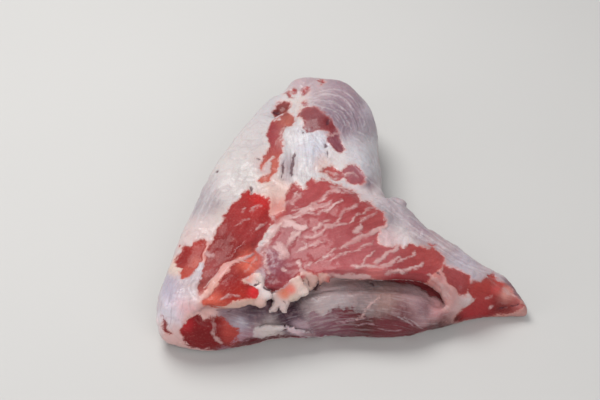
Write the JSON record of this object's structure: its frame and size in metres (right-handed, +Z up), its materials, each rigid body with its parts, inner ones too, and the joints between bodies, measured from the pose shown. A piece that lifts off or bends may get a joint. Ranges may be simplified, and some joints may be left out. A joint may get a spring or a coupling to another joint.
{
  "type": "raw untrimmed meat joint",
  "caption": "Raw meat joint with a triangular outline: a thick knob, a tapering tail, fat and silverskin over lean, and a cut lip above a lower roll of muscle.",
  "frame": {"origin": "middle of the bottom of the bounding box, on the flat face that the joint rests on", "axes": "+Z up, -Y towards the cut lip at the front, +X towards the tapering tail"},
  "size_m": [0.2802, 0.2938, 0.0708],
  "materials": {
    "meat": "moist raw meat: red lean with white fat, pale marbling and grey silverskin"
  },
  "bodies": {
    "root": {"meat_joint": "meat"}
  },
  "joints": []
}
